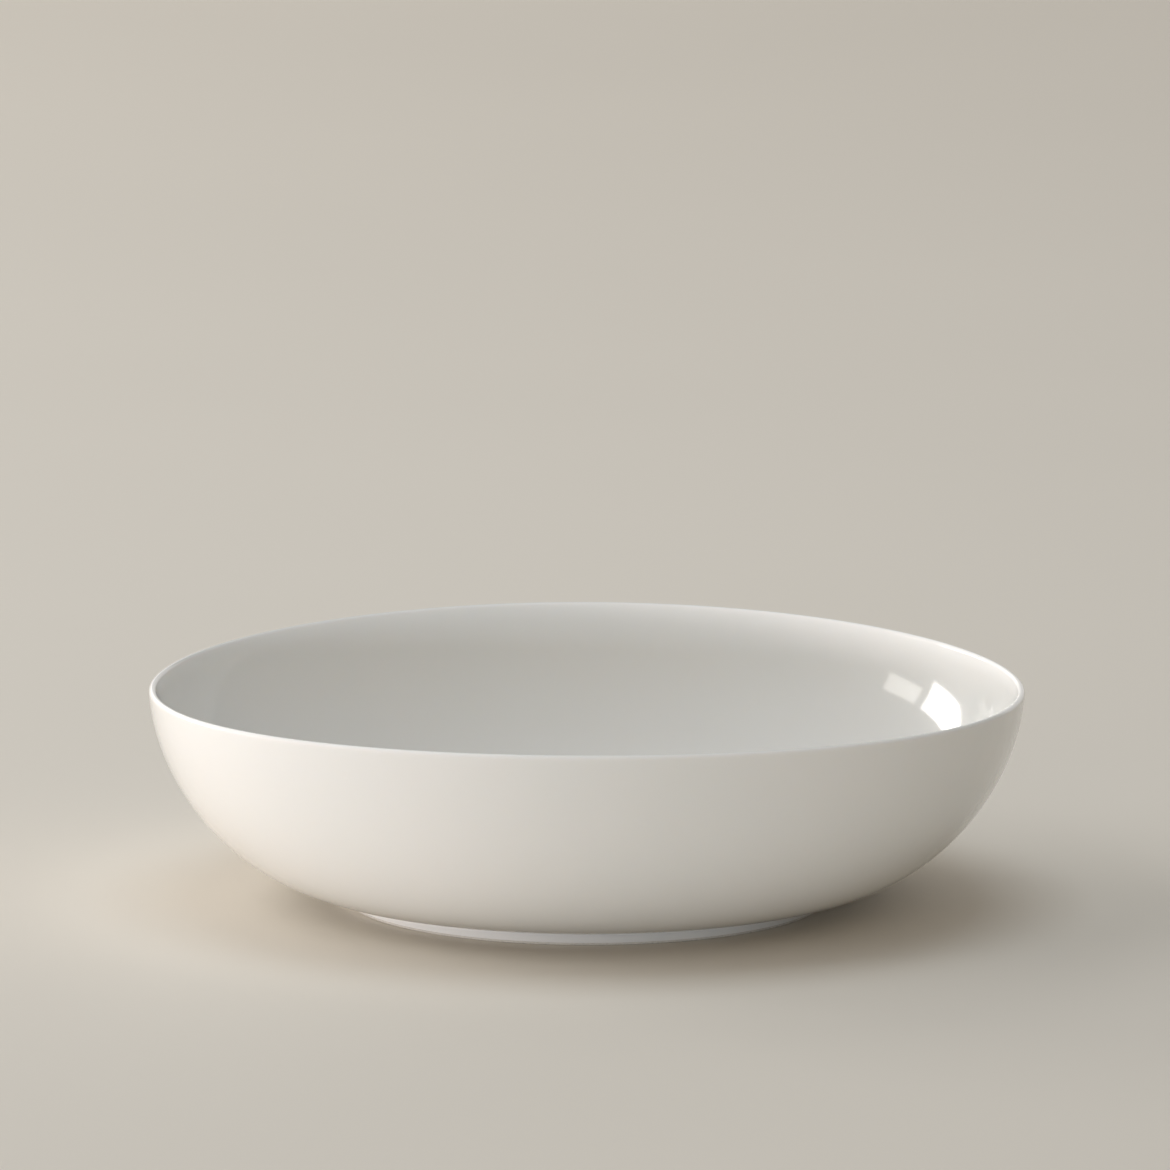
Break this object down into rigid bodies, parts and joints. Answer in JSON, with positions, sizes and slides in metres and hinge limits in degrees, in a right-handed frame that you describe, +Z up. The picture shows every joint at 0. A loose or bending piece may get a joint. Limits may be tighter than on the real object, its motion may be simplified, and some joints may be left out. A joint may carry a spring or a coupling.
{
  "type": "serving bowl",
  "caption": "Wide, low oval porcelain serving bowl with thin rounded rim, smooth white glaze and a low foot ring, for salads, fruit and shared dishes.",
  "frame": {"origin": "on the table plane, under the middle of the bowl", "axes": "+Z up, +X along the bowl's length, +Y across its width"},
  "size_m": [0.3202, 0.2978, 0.0826],
  "materials": {
    "body_glaze": "clear gloss glaze over white porcelain",
    "foot_glaze": "clear gloss glaze over white porcelain",
    "bare_porcelain": "unglazed porcelain, ground smooth and matt"
  },
  "bodies": {
    "root": {"bowl_body": "body_glaze", "foot_ring": "foot_glaze", "foot_edge": "bare_porcelain"}
  },
  "joints": []
}
